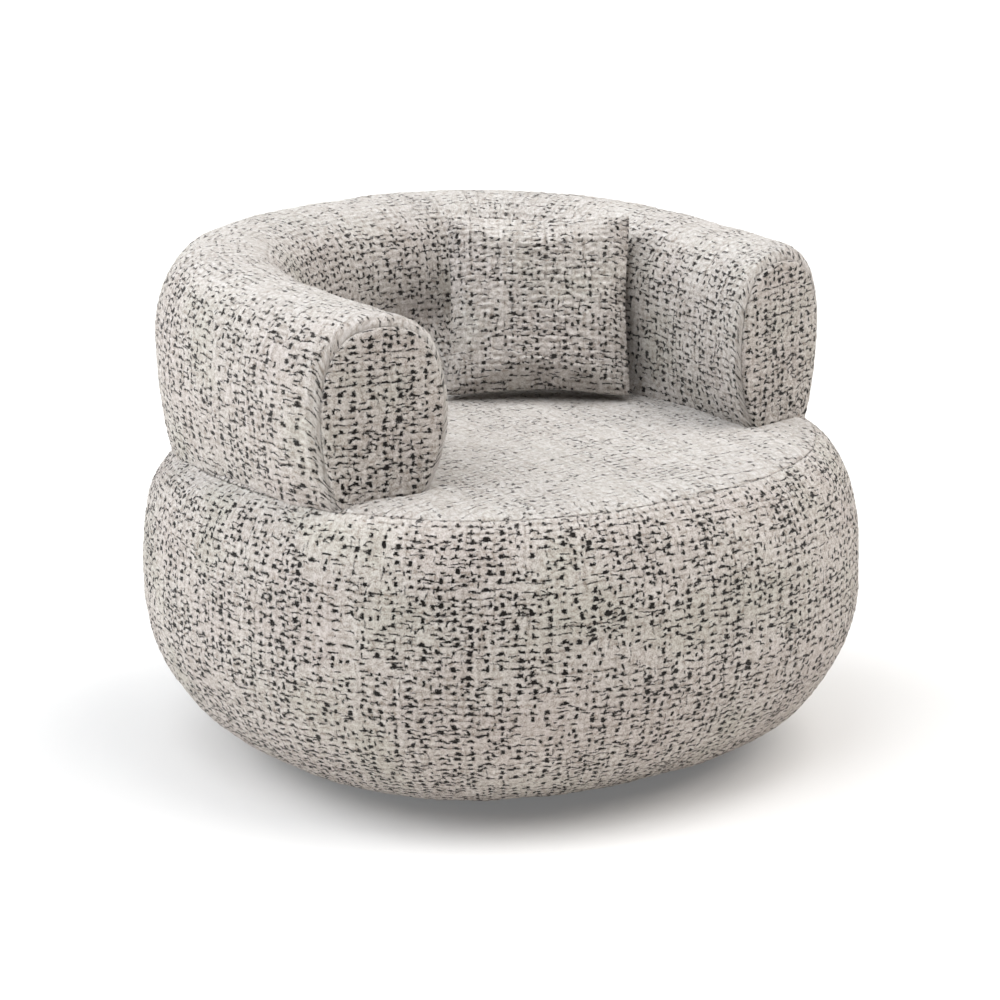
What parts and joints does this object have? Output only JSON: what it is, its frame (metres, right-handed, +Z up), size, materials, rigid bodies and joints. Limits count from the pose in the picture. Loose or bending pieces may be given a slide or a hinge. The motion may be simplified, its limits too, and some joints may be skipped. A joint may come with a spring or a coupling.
{
  "type": "swivel barrel lounge chair",
  "caption": "Low round upholstered lounge chair with a fat drum seat, a padded C-shaped back roll and a loose square pillow, on a hidden turntable.",
  "frame": {"origin": "On the floor, on the vertical swivel axis through the middle of the seat drum.", "axes": "+Z is up. The open front of the chair faces -Y, and +X is the sitter's left, on the right when the chair is seen from the front."},
  "size_m": [1, 0.9687, 0.7267],
  "materials": {
    "chenille_tweed": "nubby chenille weave, matt",
    "black_lining": "thin non-woven cloth",
    "grey_felt": "needled felt",
    "foam": "open-cell foam",
    "fibre_filling": "soft fibre filling",
    "plywood": "raw plywood",
    "pine": "raw planed pine",
    "black_board": "black painted board",
    "zinc_steel": "zinc plated",
    "nylon": "moulded nylon"
  },
  "bodies": {
    "base": {"base_plate": "black_board", "floor_glide_1": "nylon", "floor_glide_2": "nylon", "floor_glide_3": "nylon", "floor_glide_4": "nylon", "floor_glide_5": "nylon", "floor_glide_6": "nylon", "bearing_lower_ring": "zinc_steel", "bearing_screw_lower_1": "zinc_steel", "bearing_screw_lower_2": "zinc_steel", "bearing_screw_lower_3": "zinc_steel", "bearing_screw_lower_4": "zinc_steel"},
    "cage": {"ball_cage": "nylon"},
    "seat": {"bearing_upper_ring": "zinc_steel", "bearing_screw_upper_1": "zinc_steel", "bearing_screw_upper_2": "zinc_steel", "bearing_screw_upper_3": "zinc_steel", "bearing_screw_upper_4": "zinc_steel", "bottom_board": "plywood", "seat_frame_ring": "plywood", "back_top_rail": "plywood", "arm_end_board_left": "plywood", "arm_end_board_right": "plywood", "seat_post_1": "pine", "seat_post_2": "pine", "seat_post_3": "pine", "seat_post_4": "pine", "seat_post_5": "pine", "seat_post_6": "pine", "back_post_1": "pine", "back_post_2": "pine", "back_post_3": "pine", "back_post_4": "pine", "back_post_5": "pine", "back_post_6": "pine", "spring_1": "zinc_steel", "spring_2": "zinc_steel", "spring_3": "zinc_steel", "spring_4": "zinc_steel", "spring_5": "zinc_steel", "spring_rail_front": "zinc_steel", "spring_rail_rear": "zinc_steel", "deck_pad": "grey_felt", "dust_cover": "black_lining", "side_foam": "foam", "cushion_foam": "foam", "back_foam_outer": "foam", "back_foam_inner": "foam", "back_foam_top": "foam", "seat_band_cover": "chenille_tweed", "seat_top_cover": "chenille_tweed", "back_cover": "chenille_tweed", "arm_end_pad_left": "chenille_tweed", "arm_end_pad_right": "chenille_tweed"},
    "pillow": {"pillow_cover_front": "chenille_tweed", "pillow_cover_rear": "chenille_tweed", "pillow_insert": "fibre_filling"}
  },
  "joints": [
    {"name": "seat_swivel", "type": "hinge", "parent": "base", "child": "seat", "pos_m": [0, 0, 0.0248], "axis": [0, 0, 1], "continuous": true},
    {"name": "cage_turn", "type": "hinge", "parent": "base", "child": "cage", "pos_m": [0, 0, 0.0248], "axis": [0, 0, 1], "continuous": true},
    {"name": "pillow_lift", "type": "slide", "parent": "seat", "child": "pillow", "axis": [-0.3717, -0.5233, 0.7668], "range_m": [0, 0.3]}
  ],
  "couplings": [
    {"joint": "cage_turn", "follows": "seat_swivel", "ratio": 0.5}
  ]
}
